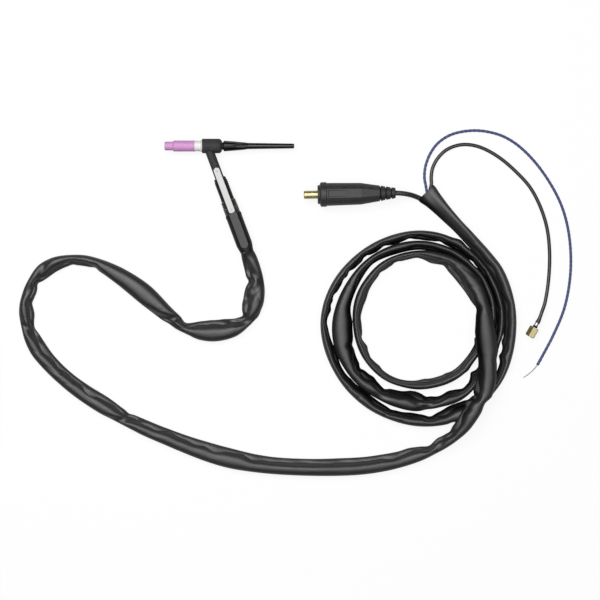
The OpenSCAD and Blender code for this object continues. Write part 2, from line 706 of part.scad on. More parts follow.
// Gas hose from the mouth to its fitting
module gas_hose() { color("#141414") cord(GAS_HOSE, hose_d, 10); }
// Blue control wire from the mouth
module control_wire() { color("#4a4f86") cord(CONTROL_WIRE, wire_d, 8); }
// Bare twisted conductor at its end
module wire_strand() { color("tan") cord(WIRE_STRAND, strand_d, 8); }

// Rubber body of the plug: disc, collar, body, taper and grooved tail, with a raised pad on top and a
// sunk bare panel in the pad
module plug_body() {
  rib_pitch = plug_tail_len / plug_ribs;
  rib_slope = (plug_neck_r - plug_tail_r) / plug_tail_len;
  groove_at = 1.6;
  groove_half = 1.1;
  groove_depth = 2.6;
  panel_start = plug_body_start + 1.5;
  panel_end = panel_start + 33;
  panel_w = plug_pad_w - 2.6;
  panel_bevel = 1.1;
  color("#3a3a3a") at_plug() difference() {
    union() {
      turned(concat(
        [[0, 0], [0, plug_disc_r - 0.6], [0.6, plug_disc_r], [plug_disc_len - 1.4, plug_disc_r],
        [plug_disc_len, plug_collar_r - 1], [plug_disc_len + 1, plug_collar_r],
        [plug_body_start - 1, plug_collar_r], [plug_body_start, plug_body_r],
        [plug_taper_start, plug_mid_r], [plug_tail_start, plug_neck_r]],
        [for (k = [0:plug_ribs - 1]) let (d = groove_at + k * rib_pitch, r = plug_neck_r - rib_slope * d)
          each [[plug_tail_start + d - groove_half, r], [plug_tail_start + d, r - groove_depth],
            [plug_tail_start + d + groove_half, r]]],
        [[plug_len, plug_tail_r], [plug_len, 0]]));
      hull() {
        slab(plug_body_start, plug_body_start + 1, plug_pad_w, 0, plug_body_r + 0.9);
        slab(plug_taper_start, plug_taper_start + 1, plug_pad_w, 0, plug_mid_r + 0.9);
        slab(plug_tail_start - 1, plug_tail_start, plug_pad_w * 0.6, 0, plug_neck_r + 0.6);
      }
    }
    rod(-cut, shank_len, shank_r + bond);
    rod(shank_len - bond, plug_len + cut, cable_d / 2 + bond);
    hull() {
      slab(panel_start, panel_end, panel_w, plug_body_r + 1.1, plug_body_r + 2);
      slab(panel_start + panel_bevel, panel_end - panel_bevel, panel_w - 2 * panel_bevel, plug_body_r - 0.2,
        plug_body_r + 1);
    }
  }
}
// Brass pin with a locking slot, its shank and cable socket
module plug_pin() {
  slot_w = 4;
  slot_depth = 1.6;
  slot_end = 8;
  slot_turn = 108;
  color("gold") at_plug() difference() {
    union() {
      turned([[-plug_pin_len, 0], [-plug_pin_len, plug_pin_r - 0.8], [-plug_pin_len + 0.8, plug_pin_r],
        [0, plug_pin_r], [0, 0]]);
      rod(-bond, shank_len - bond, shank_r);
    }
    rotate([slot_turn, 0, 0])
      slab(-plug_pin_len - cut, -slot_end, slot_w, plug_pin_r - slot_depth, plug_pin_r + cut);
    rod(socket_start, shank_len + cut, conductor_r + bond);
    for (x = screw_places) translate([x, 0, 0]) cylinder(h = shank_r + cut, r = screw_r + bond);
  }
}
// Two grub screws that clamp the conductor
module plug_clamp_screws() {
  socket_depth = 2;
  color("dimgray") at_plug() for (x = screw_places) translate([x, 0, conductor_r + bond]) difference() {
    cylinder(h = screw_len, r = screw_r);
    translate([0, 0, screw_len - socket_depth]) cylinder(h = socket_depth + cut, r = screw_r * 0.55, $fn = 6);
  }
}
// Bare conductor in the pin's socket
module plug_conductor() { color("peru") at_plug() rod(socket_start + 1, shank_len, conductor_r); }
// Sheathed cable end inside the plug's tail
module plug_cable_end() { color("#181818") at_plug() rod(shank_len + bond, plug_len, cable_d / 2); }

// Crimped ferrule on the hose end
module gas_ferrule() {
  color("silver") at_gas_end() difference() {
    rod(0, ferrule_len, hose_d / 2 + ferrule_wall);
    rod(-cut, ferrule_len + cut, nipple_r - 0.8);
  }
}
// Brass nipple: tail in the ferrule, stem through the nut, seat inside it
module gas_nipple() {
  seat = nut_start + nut_shoulder + face_gap;
  color("khaki") at_gas_end() difference() {
    union() {
      rod(0.5, ferrule_len + 1, nipple_r - 0.8 - bond);
      rod(ferrule_len + bond, nut_start - 0.6, nipple_r + 0.6);
      rod(ferrule_len + bond, seat + 1, nipple_r);
      rod(seat, seat + nipple_head_len, nipple_head_r, nipple_head_r - 1);
    }
    rod(-cut, nut_start + nut_len, 1.4);
  }
}
// Brass hex nut that turns on the nipple
module gas_nut() {
  mouth = nut_start + nut_len;
  color("khaki") at_gas_end() difference() {
    intersection() {
      translate([nut_start, 0, 0]) rotate([0, 90, 0]) rotate([0, 0, nut_phase])
        cylinder(h = nut_len, r = nut_af / 2 / cos(30), $fn = 6);
      turned([[nut_start, 0], [nut_start, nut_af / 2], [nut_start + 1.6, nut_af / 2 + 1.4],
        [mouth - 1.6, nut_af / 2 + 1.4], [mouth, nut_af / 2], [mouth, 0]]);
    }
    rod(nut_start - cut, mouth, nipple_r + run);
    rod(nut_start + nut_shoulder, mouth - nut_thread_len, nut_relief_r);
    rod(mouth - nut_thread_len - bond, mouth + cut, nut_thread_r);
  }
}

ceramic_cup();
cup_gasket();
collet_body();
collet();
torch_core();
head_cover();
neck_tube();
back_cap();
cap_o_ring();
handle_grip();
lever_collar();
rear_boot();
thumb_pad();
trigger_lever();
lever_rivets();
lever_pin();
lever_spring();
switch_body();
switch_plunger();
switch_wires();
power_block();
cable_crimp();
cable_inner();
gas_barb();
hose_inner();
control_inner();
sleeve_lead();
sleeve_coil();
sleeve_tail();
power_tail();
plug_body();
plug_pin();
plug_clamp_screws();
plug_conductor();
plug_cable_end();
gas_hose();
gas_ferrule();
gas_nipple();
gas_nut();
control_wire();
wire_strand();
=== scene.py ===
# %% [markdown]
# # A TIG torch on a pale floor
# The torch, its plug and its gas nut were drawn as solids, and they arrive here ready made.
# This lesson dresses them: it lays the long black sleeve and the thin leads as numpy
# surfaces, and gives every piece a finish of its own. Lengths are in metres, the floor is
# z = 0, +X runs from the cup to the back cap, and the solids are never moved.

# %% Load the solids
import bpy
import numpy as np
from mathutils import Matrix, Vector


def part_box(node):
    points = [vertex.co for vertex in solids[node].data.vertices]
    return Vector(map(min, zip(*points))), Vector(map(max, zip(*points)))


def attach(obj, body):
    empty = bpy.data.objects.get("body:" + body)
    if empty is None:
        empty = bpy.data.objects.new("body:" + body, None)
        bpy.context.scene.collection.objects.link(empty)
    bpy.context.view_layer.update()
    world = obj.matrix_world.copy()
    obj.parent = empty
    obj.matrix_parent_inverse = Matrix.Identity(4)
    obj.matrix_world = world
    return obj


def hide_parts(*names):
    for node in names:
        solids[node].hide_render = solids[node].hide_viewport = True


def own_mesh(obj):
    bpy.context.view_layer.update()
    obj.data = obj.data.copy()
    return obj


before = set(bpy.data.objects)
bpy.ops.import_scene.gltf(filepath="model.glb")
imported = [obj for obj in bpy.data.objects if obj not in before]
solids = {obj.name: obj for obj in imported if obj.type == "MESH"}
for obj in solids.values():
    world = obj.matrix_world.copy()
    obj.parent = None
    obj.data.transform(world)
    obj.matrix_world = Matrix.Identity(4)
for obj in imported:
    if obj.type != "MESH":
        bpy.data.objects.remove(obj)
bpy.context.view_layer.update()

# %% [markdown]
# ## The camera
# The picture looks straight down, so the camera hangs over the middle of the layout. A long
# lens from far above keeps the coil round and the torch undistorted. The frame covers 0.96 m
# of floor across.

# %% Camera over the layout
VIEW_WIDTH = 0.96
VIEW_CENTRE = (0.1128, -0.1655)
MIDDLE_HEIGHT = 0.012
LENS_MM = 100.0
SENSOR_MM = 36.0
camera_data = bpy.data.cameras.new("overhead")
camera_data.lens = LENS_MM
camera_data.sensor_width = SENSOR_MM
camera = bpy.data.objects.new("overhead", camera_data)
camera.location = (*VIEW_CENTRE, VIEW_WIDTH * LENS_MM / SENSOR_MM + MIDDLE_HEIGHT)
bpy.context.scene.collection.objects.link(camera)
bpy.context.scene.camera = camera
print("camera height:", round(camera.location.z, 3), "m")

# %% [markdown]
# ## From a grid of points to a mesh
# Every lead is a tube: a row of closed rings. One helper joins ring i to ring i + 1 with
# four-sided faces and shuts both ends, and another draws a smooth curve through a few given
# points. A Catmull-Rom curve was chosen because it passes through each given point.

# %% Tube mesh and smooth curve helpers
def tube_mesh(name, rings):
    """rings[i, k] is point k of ring i. Face (i, k) joins points k and k + 1 of rings i and
    i + 1, and each end is shut with one polygon."""
    count, sides, _ = rings.shape
    i, k = np.meshgrid(np.arange(count - 1), np.arange(sides), indexing="ij")
    nxt = (k + 1) % sides
    quads = np.stack([i * sides + k, i * sides + nxt, (i + 1) * sides + nxt, (i + 1) * sides + k], -1)
    faces = quads.reshape(-1, 4).tolist()
    faces.append(list(range(sides))[::-1])
    faces.append(list(range((count - 1) * sides, count * sides)))
    mesh = bpy.data.meshes.new(name)
    mesh.from_pydata(rings.reshape(-1, 3).tolist(), [], faces)
    mesh.polygons.foreach_set("use_smooth", np.ones(len(faces), bool))
    mesh.validate()
    piece = bpy.data.objects.new(name, mesh)
    bpy.context.scene.collection.objects.link(piece)
    return piece


SPAN_STEPS = 24


def smooth_curve(points, step):
    """Catmull-Rom through the rows of points, each span a cubic whose slope at a point is half
    the step between its neighbours, then re-spaced so that rows lie step apart in x, y, z. The
    second thing returned is each row's distance from the start."""
    p = np.asarray(points, float)
    ext = np.vstack([2 * p[0] - p[1], p, 2 * p[-1] - p[-2]])
    t = np.linspace(0, 1, SPAN_STEPS, endpoint=False)[:, None]
    spans = [0.5 * (2 * b + (c - a) * t + (2 * a - 5 * b + 4 * c - d) * t**2 + (3 * b - a - 3 * c + d) * t**3)
             for a, b, c, d in zip(ext[:-3], ext[1:-2], ext[2:-1], ext[3:])]
    fine = np.vstack(spans + [p[-1:]])
    gone = np.concatenate([[0], np.cumsum(np.linalg.norm(np.diff(fine[:, :3], axis=0), axis=1))])
    at = np.linspace(0, gone[-1], int(round(gone[-1] / step)) + 1)
    return np.stack([np.interp(at, gone, fine[:, c]) for c in range(fine.shape[1])], 1), at


def directions(centre):
    """Forward is the difference of the neighbours, right is forward crossed with up, and the
    last is what is square to both."""
    forward = np.gradient(centre, axis=0)
    forward /= np.linalg.norm(forward, axis=1, keepdims=True)
    right = np.cross(forward, [0.0, 0.0, 1.0])
    right /= np.linalg.norm(right, axis=1, keepdims=True)
    return forward, right, np.cross(right, forward)


print("helpers ready: tube_mesh, smooth_curve, directions")

# %% [markdown]
# ## The sleeve's route
# The sleeve leaves the handle, swings round in a wide S, runs along the bottom, climbs over
# the coil and winds three turns, then leaves by the top right. The lead and the tail are
# listed point by point. The coil is listed as a radius for every 15 degrees about its centre.
# Each row is x, y, lift, width in millimetres: lift is how far the sleeve's underside is off
# the floor, and width is what is seen from above.

# %% Route points of the sleeve
LEAD = [
    (28, -88, 3, 20.6), (32.4, -100, 2.4, 24.6), (38, -120, 1, 26.4), (42, -136, 0, 27.6),
    (41.2, -152, 0, 31.2), (38.5, -169.8, 0, 32), (33.9, -186.4, 0, 25.6), (23.2, -202.1, 0, 21.9),
    (3.6, -211.5, 0, 29.7), (-24, -215.3, 0, 34.2), (-47.1, -214.7, 0, 30.1), (-67.8, -210.9, 0, 20.3),
    (-94.5, -193.6, 0, 23.7), (-131.2, -160.3, 0, 31.4), (-154, -142.1, 0, 30.5),
    (-181.6, -123.3, 0, 25.4), (-212.6, -106.9, 0, 18.2), (-231.8, -102.1, 0, 17.6),
    (-255.1, -101.1, 0, 17.5), (-281.5, -107.9, 0, 23.2), (-298.9, -118.9, 0, 24.8),
    (-313.4, -134.1, 0, 19.1), (-321.4, -151.5, 0, 19.3), (-326.4, -170.9, 0, 21.3),
    (-326.4, -189.1, 0, 22.9), (-323.6, -208.4, 0, 21.7), (-316.2, -227.6, 0, 25.4),
    (-306, -245.6, 0, 27.8), (-290, -265.9, 0, 26.3), (-263.4, -291.6, 0, 25.9),
    (-237.3, -311.7, 0, 27.3), (-202.5, -333.8, 0, 28.4), (-168.4, -354.8, 0, 22.7),
    (-134.1, -371.2, 0, 24.7), (-107.2, -382.5, 0, 25.6), (-70.9, -396.8, 0, 27.7),
    (-33.9, -409.6, 0, 30.7), (2, -419.8, 0, 31.5), (39, -427.1, 0, 28.7), (76, -431.7, 0, 26.9),
    (130, -434, 0, 26.9), (177, -433.4, 0, 27.9), (218, -431.1, 0, 27.6), (260, -424.2, 0, 26.6),
    (300, -414, 0, 22.9), (329.2, -402.4, 2, 18.6), (354.1, -386.1, 7, 19.7), (371.8, -366.9, 13, 24.5),
    (386.4, -347.2, 16, 25),
]
COIL_CENTRE = (302, -205)
COIL_STEP_DEG = 15
COIL_START_DEG = -45
COIL_RADII = [
    145.5, 127.5, 112.5, 106.5, 106.5, 107, 108, 111, 112, 113, 111.5, 110, 106, 103.5, 100.5, 97.5,
    97.5, 97.5, 98, 99, 98, 97.5, 97, 99, 101, 101.5, 106.5, 117, 122, 124, 126, 127, 127.5, 128, 126.5,
    127, 126, 123.5, 124, 122.5, 124, 125.5, 125, 125, 124, 125, 129, 131, 128, 125, 128.5, 132, 134,
    136, 138.5, 141, 144, 144.5, 143.5, 142.5, 143, 145.5, 148.5, 151, 148, 148, 147.5, 148, 151, 154,
    156, 156.5, 156.5, 155, 150, 150, 151.5, 152, 154,
]
COIL_WIDTHS = [
    28.5, 30, 34, 30, 25, 29, 30, 25, 19, 13.5, 12.5, 14, 14.5, 15.5, 15.5, 14.5, 13.5, 13, 12, 11.5,
    11.5, 14.5, 16, 16.5, 15.5, 14, 16.5, 14, 14, 14, 13.5, 14, 14.5, 15, 16, 14.5, 15.5, 19.5, 23.5,
    31.5, 31.5, 26, 25, 23, 27, 29, 17.5, 18.5, 16, 14.5, 14.5, 14, 14, 13, 12, 15.5, 15, 14, 13.5,
    14.5, 15, 15, 14, 12.5, 15, 14.5, 17, 19, 17.5, 19, 21.5, 27.5, 16.5, 15, 17.5, 16, 16, 20, 20.5,
]
COIL_LIFTS = [16, 16, 14, 10, 6, 3, 1]
TAIL = [
    (395.3, -78.7, 0, 20.3), (380, -62, 0, 20), (365.7, -47.3, 0, 19.9), (353.4, -34.5, 0, 21.9),
    (340.4, -20.6, 0, 24.7), (327.6, -6.4, 0, 29), (314.6, 7, 0, 33.6),
]

angle = np.radians(COIL_START_DEG + COIL_STEP_DEG * np.arange(len(COIL_RADII)))
radius = np.array(COIL_RADII, float)
lift = np.zeros(len(radius))
lift[: len(COIL_LIFTS)] = COIL_LIFTS
coil = np.column_stack([
    COIL_CENTRE[0] + radius * np.cos(angle), COIL_CENTRE[1] + radius * np.sin(angle), lift, COIL_WIDTHS])
sleeve_rows = np.vstack([LEAD, coil, TAIL]) / 1000.0
print("sleeve points:", len(sleeve_rows))

# %% [markdown]
# ## The sleeve's skin
# The real sleeve is a flat fabric tube, much wider than the bundle of lines inside it. The
# bundle lies against the outside of each bend and makes a high hump; the spare cloth falls to
# the inside and makes a lower one, with a crease that wanders between the two. So one ring is:
# a point travels round the angle a, its distance sideways is half the width times cos a, and
# its height is the higher of the two humps. On calm stretches the crease fades or moves aside,
# and a few sharp pinches cross the sleeve where it bends.

# %% Folds along the two edges
# distance along the sleeve, how far the edge is pushed out (minus: drawn in), over what reach, in mm
LEFT_FOLDS = [
    (100, 1.5, 6), (240, -1.5, 9), (392, -2, 6), (432, -1.5, 6), (504, -3, 6), (520, 1.5, 9),
    (540, -2, 6), (560, 1.5, 9), (584, -2, 9), (800, -2, 6), (1272, 2, 13), (1304, -3, 9), (1324, 2, 9),
    (1348, -2, 6), (1388, 2.5, 13), (1400, -1, 6), (1404, 6, 6), (1420, -4.5, 6), (1504, 4, 6),
    (1528, 1.5, 13), (1568, -3, 9), (1664, -3.5, 9), (1688, 2, 9), (1712, -1.5, 9), (1748, -3, 6),
    (1780, -2, 6), (1832, 2, 13), (1864, -1.5, 9), (1900, -2.5, 6), (1916, 2, 6), (1936, -1.5, 6),
    (1956, 1.5, 6), (2040, 1.5, 9), (2080, 1, 6), (2092, -1, 18), (2160, 5, 6), (2468, -2, 18),
    (2588, 3, 18), (2620, -2, 6), (2664, -3.5, 6), (2692, 2.5, 9), (2712, -1, 6), (2720, -3.5, 6),
    (2768, 3, 13), (2792, -2.5, 6), (2832, 4, 13), (2860, -4.5, 9), (2872, -2.5, 6), (2888, 4.5, 6),
    (2975, 2, 14), (3096, -1.5, 6), (3160, -2, 6), (3184, 1.5, 13), (3212, -2, 6), (3236, 2.5, 13),
    (3256, -2, 6), (3272, 1, 6), (3292, -4.5, 6), (3328, -3, 6), (3344, -2, 6), (3376, -3.5, 6),
    (3392, -1.5, 6), (3400, 1.5, 6), (3420, -2, 9), (3476, 2.2, 18), (3528, 1, 6), (3560, 2.2, 24),
    (3612, -1.5, 6), (3648, 2, 13), (3680, -4, 9), (3716, 4, 18), (3752, -1.5, 6), (3760, 1, 6),
    (3848, 3.5, 6), (3872, 2.5, 6), (3893, 3, 22), (3918, 2.5, 18), (3950, 2.5, 18), (4166, 2.5, 13),
]
RIGHT_FOLDS = [
    (48, -3, 6), (68, 1, 13), (92, 2.5, 18), (112, -3.5, 6), (156, 1.5, 18), (220, -4, 9),
    (1416, -2.5, 9), (1436, 4.5, 13), (1456, 2, 9), (1484, -1.5, 6), (1504, 4, 6), (2112, 1, 6),
    (2188, 1.5, 14), (2292, -1.5, 9), (2792, -1.5, 9), (2928, 2.5, 6), (2952, -1, 6), (3132, 3, 9),
    (3712, -1.5, 6), (3748, 4.5, 13), (3772, -2.5, 9), (3996, 1, 18), (4164, 1.5, 13),
]
print("folds:", len(LEFT_FOLDS), "left,", len(RIGHT_FOLDS), "right")

# %% Centreline and places along the sleeve
RING_STEP = 0.0021
ROUTE_EASING = 0.011
NARROWEST, WIDEST = 0.0045, 0.0174
rows, along = smooth_curve(sleeve_rows, RING_STEP)


def eased(values, reach):
    """Each row becomes a bell-weighted mean of its neighbours within three times reach; the
    ends are mirrored through their last row first, so they stay where they are."""
    n = int(3 * reach / RING_STEP)
    bell = np.exp(-0.5 * (np.arange(-n, n + 1) * RING_STEP / reach) ** 2)
    bell /= bell.sum()
    padded = np.vstack([2 * values[:1] - values[n:0:-1], values, 2 * values[-1:] - values[-2:-n - 2:-1]])
    return np.stack([np.convolve(padded[:, c], bell, "valid") for c in range(values.shape[1])], 1)


rows[:, :3] = eased(rows[:, :3], ROUTE_EASING)
along = np.concatenate([[0], np.cumsum(np.linalg.norm(np.diff(rows[:, :2], axis=0), axis=1))])
sleeve_length = along[-1]
flat_centre = np.column_stack([rows[:, 0], rows[:, 1], np.zeros(len(rows))])
_, right, _ = directions(flat_centre)


def folded(half_width, folds):
    """Half the width plus a bell curve for each fold, push times
    exp(-((along - distance) / reach)^2), and never narrower or wider than the cloth allows."""
    where, push, reach = np.array(folds, float).T / 1000
    bells = (push * np.exp(-(((along[:, None] - where) / reach) ** 2))).sum(1)
    return np.clip(half_width + bells, NARROWEST, WIDEST)[:, None]


left_w = folded(rows[:, 3] / 2, LEFT_FOLDS)
right_w = folded(rows[:, 3] / 2, RIGHT_FOLDS)


def place_of(x_mm, y_mm):
    """Distance along the sleeve of the point nearest to a place on the floor."""
    return along[np.argmin(np.hypot(rows[:, 0] - x_mm / 1000, rows[:, 1] - y_mm / 1000))]


def rising(start, reach):
    """0 up to a distance along the sleeve, then evenly up to 1 over reach; one row a ring."""
    return np.clip((along[:, None] - start) / reach, 0, 1)


def soft_step(x):
    """The same 0 to 1 with gentle ends: 3 x^2 - 2 x^3."""
    return x * x * (3 - 2 * x)


print("sleeve length:", round(float(sleeve_length), 3), "m, rings:", len(rows))

# %% Waves that the cloth is made of
# height of each wave, and the length over which its angle grows by one
WAVES = [(1.0, 0.031), (0.7, 0.0173), (0.5, 0.0097)]
WAVES_HEIGHT = 2.2
VALLEY_WIDTH = 0.4
TWIST_REACH = 0.018


def wander(s, seed):
    """A slow uneven wave: three sines of unrelated wavelengths that start anywhere, divided by
    the sum of their heights, so between -1 and 1."""
    phase = np.random.default_rng(seed).uniform(0, 6.28, len(WAVES))
    return sum(tall * np.sin(s / long + p) for (tall, long), p in zip(WAVES, phase)) / WAVES_HEIGHT


def valleys(x):
    """Wide hills with narrow valleys: a bell curve of the sine."""
    return np.exp(-((np.sin(x) / VALLEY_WIDTH) ** 2))


# the bundle is on the left of the travel before the twist, and on the right after it
s = along[:, None]
outer = np.tanh((s - place_of(-84, -202)) / TWIST_REACH)
# 1 where the cloth is smooth and round or flat: at the handle and over the flared mouth
plain = soft_step(rising(sleeve_length - 0.13, 0.05) + 1 - rising(0, 0.02))
# 1 on the coil
wound = rising(1.3, 0.2)
# sharp pinches: place on the floor, lean of the crease, depth in mm
PINCHES = [
    (37, -124, 1.1, 4), (41, -150, -1.2, 4), (17, -196, -1.5, 5), (-95, -198, 1.5, 6),
    (-300, -122, 1.2, 4), (-318, -150, -1.1, 3), (-315, -210, 1.6, 5), (-159, -348, 1.7, 5),
    (325, -334, 1.5, 4), (336, -398, 1.3, 4), (300, -338, -1.2, 3), (250, -318, 1.2, 3),
]
# stretches where the cloth lies smooth: from place to place on the floor, how far the crease dies
# out, and how far it moves towards the outside
CALM = [
    ((-215, -107), (-112, -178), 1.0, 0.0), ((50, -431), (262, -424), 0.4, 0.22),
    ((195, -143), (184, -247), 1.0, 0.0), ((398, -160), (409, -290), 1.0, 0.0),
]
calm, aside = np.zeros((2, len(along), 1))
for begin, end, dying, outwards in CALM:
    first, last = place_of(*begin), place_of(*end)
    stretch = np.exp(-(((s - (first + last) / 2) / (abs(last - first) / 2)) ** 4))
    calm, aside = calm + dying * stretch, aside + outwards * stretch
print("pinches:", len(PINCHES), "calm stretches:", len(CALM))

# %% Ring outline and the two humps
TOP_SIDES = 40
UNDER_SIDES = 8
TOP_HEIGHT = 0.0185
HUMP_POWER = 2.7
EASING_POWER = 3.5
TINY = 1e-16
# counted from the inner edge (0) to the outer one (1)
CREASE_AT, CREASE_SWING, OVERLAP = 0.40, 0.13, 0.16
BUNDLE_PAST, FLAP_PAST = 1.25, -0.30
# height of the spare cloth against the bundle's, and how much lower it is on the coil
SPARE_SHARE, COIL_LOSS = 0.66, 0.22
PUCKER_REACH, PUCKER_DEPTH = 0.016, 1.6

# more points over the top than under it, where the sleeve lies flat
over = np.linspace(0, np.pi, TOP_SIDES, endpoint=False)
under = np.linspace(np.pi, 2 * np.pi, UNDER_SIDES, endpoint=False)
a = np.concatenate([over, under])[None, :]
lateral = np.cos(a) * np.where(np.cos(a) >= 0, right_w, left_w)
whole = left_w + right_w


def hump(t, begin, end, height):
    """A flattened half-ellipse from begin to end: height times the root of one less the size of
    the distance from the middle, counted in half-widths, to the power 2.7."""
    across = (2 * t - begin - end) / (end - begin)
    return height * np.sqrt(np.clip(1 - np.abs(across) ** HUMP_POWER, 0.0, None))


def bundle_and_flap(u, inner_w, outer_w):
    """Height of the cloth at u, counted towards the outside of the bend. With t running from 0 at
    the inner edge to 1 at the outer one, the bundle is a high hump from the crease to past the
    outer edge and the spare cloth a lower hump from past the inner edge to the crease. The
    higher of the two counts, eased: raise both to the power 3.5, add them, take that root. Where
    the inner edge is drawn in, the cloth puckers and sinks."""
    t = (u + inner_w) / (inner_w + outer_w)
    scallop = wander(1.9 * s, 11)
    crease = CREASE_AT + aside + (CREASE_SWING - 0.5 * aside) * scallop
    high = TOP_HEIGHT + 0.0007 * wander(0.6 * s, 5)
    spare = high * (SPARE_SHARE - COIL_LOSS * wound + 0.12 * scallop + 0.08 * wander(0.9 * s, 17))
    bundle = hump(t, crease - OVERLAP - 0.55 * calm, BUNDLE_PAST, high)
    flap = hump(t, FLAP_PAST + 0.12 * wander(1.3 * s, 23), crease + OVERLAP, spare * (1 - 0.5 * calm))
    drawn_in = np.clip(eased(inner_w, PUCKER_REACH) - inner_w, 0, None)
    pucker = drawn_in * np.clip(-u / inner_w + 0.2, 0, 1)
    higher = (bundle**EASING_POWER + flap**EASING_POWER + TINY) ** (1 / EASING_POWER)
    return higher - PUCKER_DEPTH * pucker


bent_right = bundle_and_flap(lateral, left_w, right_w)
bent_left = bundle_and_flap(-lateral, right_w, left_w)
top = 0.5 * (1 + outer) * bent_right + 0.5 * (1 - outer) * bent_left
print("cloth over the bundle:", top.shape[0], "rings of", top.shape[1], "points")

# %% Mouth, ripples and pinches
# the plain cloth keeps its area, so it is low where it is wide, and a little higher on one side
PLAIN_AREA, PLAIN_LOW, PLAIN_HIGH = 0.00042, 0.0115, 0.0205
CUFF_LIFT, CUFF_REACH, CUFF_SPREAD = 0.0045, 0.022, 0.006
RIPPLE_DEPTH, RIPPLE_STEP, RIPPLE_SLANT = 0.0010, 0.0125, 0.0075
PINCH_WIDTH = 0.0105
PINCH_WHOLE_MM = 18
THINNEST = 0.005
# the widest part of a ring is a third of the way up, and its underside is almost flat
EDGE_SHARE, ROUNDING, FLATNESS = 0.34, 0.6, 0.97

lopsided = 1 + 0.26 * np.tanh(3.2 * lateral / whole)
top = top * (1 - plain) + plain * lopsided * np.clip(PLAIN_AREA / whole, PLAIN_LOW, PLAIN_HIGH)
# the current cable lifts the cloth beside the mouth
at_mouth = np.exp(-(((sleeve_length - s) / CUFF_REACH) ** 2))
top = top + CUFF_LIFT * at_mouth * np.exp(-(((lateral + 0.8 * left_w) / CUFF_SPREAD) ** 2))
ripple_gate = np.clip(wander(0.4 * s, 31) + 0.1, 0, 1) * (1 - plain) * np.clip(1 - calm - 4 * aside, 0, 1)
ripples = valleys(s / RIPPLE_STEP + lateral / RIPPLE_SLANT + 2 * wander(s, 21))
top = top - RIPPLE_DEPTH * ripple_gate * ripples
for x_mm, y_mm, lean, depth in PINCHES:
    dent = np.exp(-(((s - place_of(x_mm, y_mm) + lean * lateral) / PINCH_WIDTH) ** 2))
    top = top * (1 - depth / PINCH_WHOLE_MM * dent * (1 - plain))
top = np.clip(top, THINNEST, None)
edge = EDGE_SHARE * top
envelope = np.abs(np.sin(a)) ** ROUNDING
height = np.where(np.sin(a) >= 0, edge + envelope * (top - edge), edge * (1 - FLATNESS * envelope))
ring_points = flat_centre[:, None, :] + right[:, None, :] * lateral[..., None]
ring_points[..., 2] = rows[:, 2][:, None] + height
print("highest point of the sleeve:", round(float(ring_points[..., 2].max()) * 1000, 1), "mm")

# %% Open mouth and the finished sleeve
# the last ring turns inwards, and rings a little narrower and a third lower run back into the sleeve
TURNED_IN = (0.97, 0.92)
RINGS_BACK = np.array([2, 6, 12])
CLOTH_THICK = 0.0006
INNER_SIZE = (0.88, 0.88, 0.68)
middle = ring_points[-1].mean(0)
inward = np.stack([middle + (ring_points[-1] - middle) * f for f in TURNED_IN])
back = ring_points[-1 - RINGS_BACK]
root = np.concatenate([back[..., :2].mean(1), back[..., 2:].min(1) + CLOTH_THICK], 1)[:, None, :]
deep = root + (back - root) * INNER_SIZE
sleeve = tube_mesh("sleeve", np.concatenate([ring_points, inward, deep])[:, ::-1])
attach(sleeve, "torch")
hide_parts("sleeve_lead", "sleeve_coil", "sleeve_tail")

# %% [markdown]
# ## The thin leads
# Out of the mouth come the current cable, the gas hose and the control wire. Each is a round
# tube along its own points. The control wire is two cores under one skin, so its radius
# swells twice round the ring and that swelling turns along the length, like a rope.

# %% Round leads
POWER_ROUTE = [
    (318, -9, 4.3), (310, -5, 4.4), (301, -0.8, 7.0), (291.5, 2.2, 11.6), (282, 4, 15.9),
    (273, 4.9, 18.6), (265.1, 5.2, 19.6),
]
HOSE_ROUTE = [
    (321, 9, 7), (323.5, 20, 5), (323.5, 33, 3.4), (326, 47, 2.8), (334, 62, 2.8), (348, 75.5, 2.8),
    (367, 83, 2.8), (387, 83.5, 2.8), (409, 77, 2.8), (434.5, 62, 2.8), (460, 40, 2.8),
    (482, 15.5, 2.8), (498.5, -15.5, 2.8), (509.5, -51, 2.8), (513.5, -90, 2.8), (512, -131, 3),
    (506.5, -166.5, 5), (500, -186, 7.4), (496, -196.8, 8.1), (493, -202.3, 8.2),
]
WIRE_ROUTE = [
    (317, 3, 8), (314.5, 18, 5.5), (312.5, 32, 3.4), (314.5, 50, 2.3), (322, 69.5, 2.3), (335, 87, 2.3),
    (355.5, 100, 2.3), (382, 106, 2.3), (409, 105.5, 2.3), (438.5, 97.5, 2.3), (465, 81, 2.3),
    (490.5, 55.5, 2.3), (513.5, 23.5, 2.3), (531.5, -11, 2.3), (542.5, -48, 2.3), (547.5, -90, 2.3),
    (546, -134, 2.3), (537, -179.5, 2.3), (519.5, -222, 2.3), (503, -253.5, 2.3), (494, -270, 2.3),
]
STRAND_ROUTE = [(495, -268, 2.2), (490, -275, 1.9), (484, -281, 1.5), (478, -286, 1.1), (472, -290, 0.9)]
FLARE_REACH = 0.006


